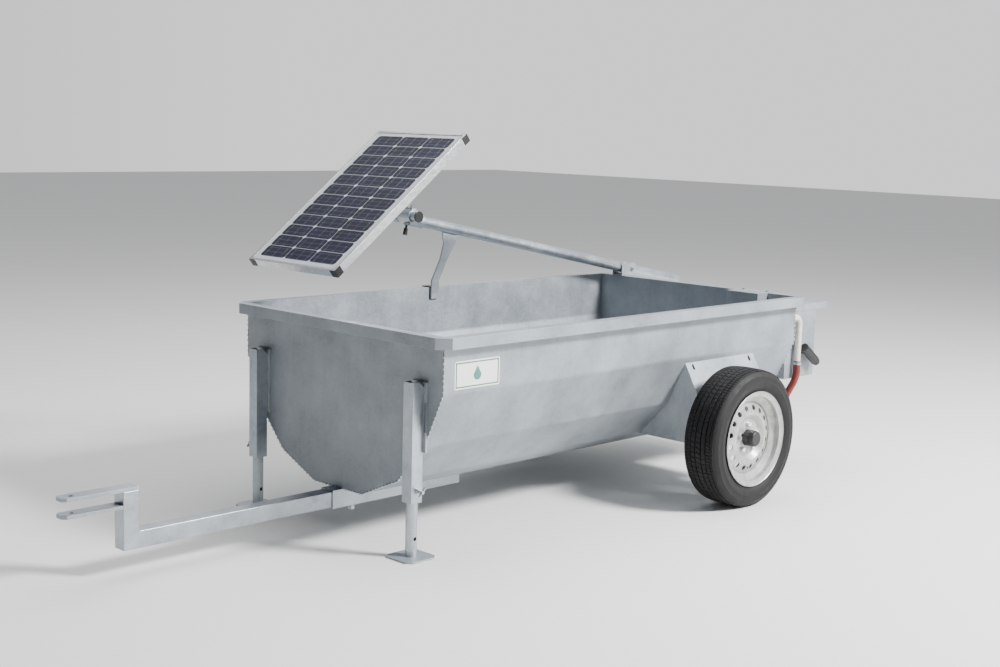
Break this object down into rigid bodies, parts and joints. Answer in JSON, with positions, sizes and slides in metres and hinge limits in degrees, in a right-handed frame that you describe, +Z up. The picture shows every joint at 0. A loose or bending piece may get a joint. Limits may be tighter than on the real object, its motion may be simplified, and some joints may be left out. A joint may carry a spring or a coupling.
{
  "type": "livestock drinking trough trailer",
  "caption": "Two-wheeled galvanised drinking trough with telescopic drawbar, two prop legs, a tilting solar panel on a mast and a pump box behind.",
  "frame": {"origin": "on the ground, in the middle of the overall length and width, below the trough", "axes": "+X to the rear (the hitch is at -X), +Y to the trailer's right-hand side, +Z up"},
  "size_m": [3.7522, 1.698, 1.484],
  "materials": {
    "galvanised_sheet": "hot-dip galvanised, mottled",
    "galvanised_tube": "galvanised, semi-bright",
    "galvanised_plate": "galvanised, matt",
    "zinc_fastener": "zinc plated",
    "bright_steel": "machined",
    "tyre_rubber": "matt, moulded",
    "wheel_paint": "satin silver paint",
    "hub_casting": "black paint",
    "black_plastic": "moulded, ribbed",
    "anodised_frame": "clear anodised",
    "solar_glass": "dark cells under glass",
    "pvc_pipe": "off-white pipe",
    "red_hose": "smooth hose",
    "float_plastic": "orange plastic",
    "battery_case": "moulded",
    "pump_paint": "blue paint",
    "controller_case": "grey plastic",
    "brass": "cast brass"
  },
  "bodies": {
    "trough": {"axle_brackets": "galvanised_plate", "axle_nuts": "zinc_fastener", "battery": "battery_case", "charge_controller": "controller_case", "drawbar_clamp_bolt": "zinc_fastener", "drawbar_sleeve": "galvanised_tube", "end_plates": "galvanised_sheet", "feed_hose": "red_hose", "float_valve": "brass", "hose_clips": "zinc_fastener", "leg_mounts": "galvanised_plate", "leg_sheaths": "galvanised_tube", "lid_hinges": "zinc_fastener", "mast_bracket": "galvanised_plate", "mast_pivot_bolt": "zinc_fastener", "pump": "pump_paint", "pump_box": "galvanised_sheet", "pump_outlet": "brass", "rim_bolts": "zinc_fastener", "rim_frame": "galvanised_sheet", "riser_pipe": "pvc_pipe", "stub_axles": "bright_steel", "suction_coupling": "black_plastic", "trough_shell": "galvanised_sheet", "valve_guard": "galvanised_sheet", "wheel_bearings": "bright_steel"},
    "drawbar": {"drawbar": "galvanised_tube", "hitch_plates": "galvanised_plate"},
    "leg_left": {"leg_tube_left": "galvanised_tube", "foot_plate_left": "galvanised_plate"},
    "leg_right": {"leg_tube_right": "galvanised_tube", "foot_plate_right": "galvanised_plate"},
    "leg_screw_left": {"leg_screw_left": "zinc_fastener"},
    "leg_screw_right": {"leg_screw_right": "zinc_fastener"},
    "wheel_left": {"tyre_left": "tyre_rubber", "wheel_rim_left": "wheel_paint", "hub_left": "hub_casting", "hub_cap_left": "black_plastic", "wheel_bolts_left": "zinc_fastener"},
    "wheel_right": {"tyre_right": "tyre_rubber", "wheel_rim_right": "wheel_paint", "hub_right": "hub_casting", "hub_cap_right": "black_plastic", "wheel_bolts_right": "zinc_fastener"},
    "mast": {"mast_tube": "galvanised_tube", "tee_head": "galvanised_tube", "tee_bolts": "zinc_fastener", "prop_bar": "galvanised_plate", "rim_hook": "black_plastic"},
    "head_knob": {"head_knob": "black_plastic"},
    "panel": {"spindle": "galvanised_tube", "spindle_caps": "black_plastic", "panel_arm": "galvanised_plate", "panel_rails": "anodised_frame", "panel_frame": "anodised_frame", "panel_laminate": "solar_glass", "corner_caps": "black_plastic", "junction_box": "black_plastic"},
    "pump_box_lid": {"pump_box_lid": "galvanised_sheet"},
    "float": {"float_arm": "float_plastic"}
  },
  "joints": [
    {"name": "drawbar_slide", "type": "slide", "parent": "trough", "child": "drawbar", "axis": [1, 0, 0], "range_m": [0, 0.35]},
    {"name": "leg_left_slide", "type": "slide", "parent": "trough", "child": "leg_left", "axis": [0, 0, 1], "range_m": [0, 0.19]},
    {"name": "leg_right_slide", "type": "slide", "parent": "trough", "child": "leg_right", "axis": [0, 0, 1], "range_m": [0, 0.19]},
    {"name": "leg_screw_left_turn", "type": "hinge", "parent": "trough", "child": "leg_screw_left", "pos_m": [-0.76908, -0.492, 0.246], "axis": [0, -1, 0], "range_deg": [-180, 180]},
    {"name": "leg_screw_right_turn", "type": "hinge", "parent": "trough", "child": "leg_screw_right", "pos_m": [-0.76908, 0.492, 0.246], "axis": [0, 1, 0], "range_deg": [-180, 180]},
    {"name": "wheel_left_spin", "type": "hinge", "parent": "trough", "child": "wheel_left", "pos_m": [0.75892, -0.762, 0.285], "axis": [0, 1, 0], "continuous": true},
    {"name": "wheel_right_spin", "type": "hinge", "parent": "trough", "child": "wheel_right", "pos_m": [0.75892, 0.762, 0.285], "axis": [0, 1, 0], "continuous": true},
    {"name": "mast_tilt", "type": "hinge", "parent": "trough", "child": "mast", "pos_m": [1.47892, 0.47, 0.83], "axis": [0, 1, 0], "range_deg": [0, 70]},
    {"name": "head_knob_turn", "type": "hinge", "parent": "mast", "child": "head_knob", "pos_m": [0.01321, 0.47, 1.12979], "axis": [0.1925, 0, 0.9813], "range_deg": [-180, 180]},
    {"name": "panel_tilt", "type": "hinge", "parent": "mast", "child": "panel", "pos_m": [0.01321, 0.47, 1.12979], "axis": [0, 1, 0], "range_deg": [-8, 35]},
    {"name": "lid_hinge", "type": "hinge", "parent": "trough", "child": "pump_box_lid", "pos_m": [1.45992, -0.31, 0.7563], "axis": [0, -1, 0], "range_deg": [0, 90]},
    {"name": "float_lift", "type": "hinge", "parent": "trough", "child": "float", "pos_m": [1.36592, -0.366, 0.676], "axis": [1, 0, 0], "range_deg": [0, 20]}
  ]
}
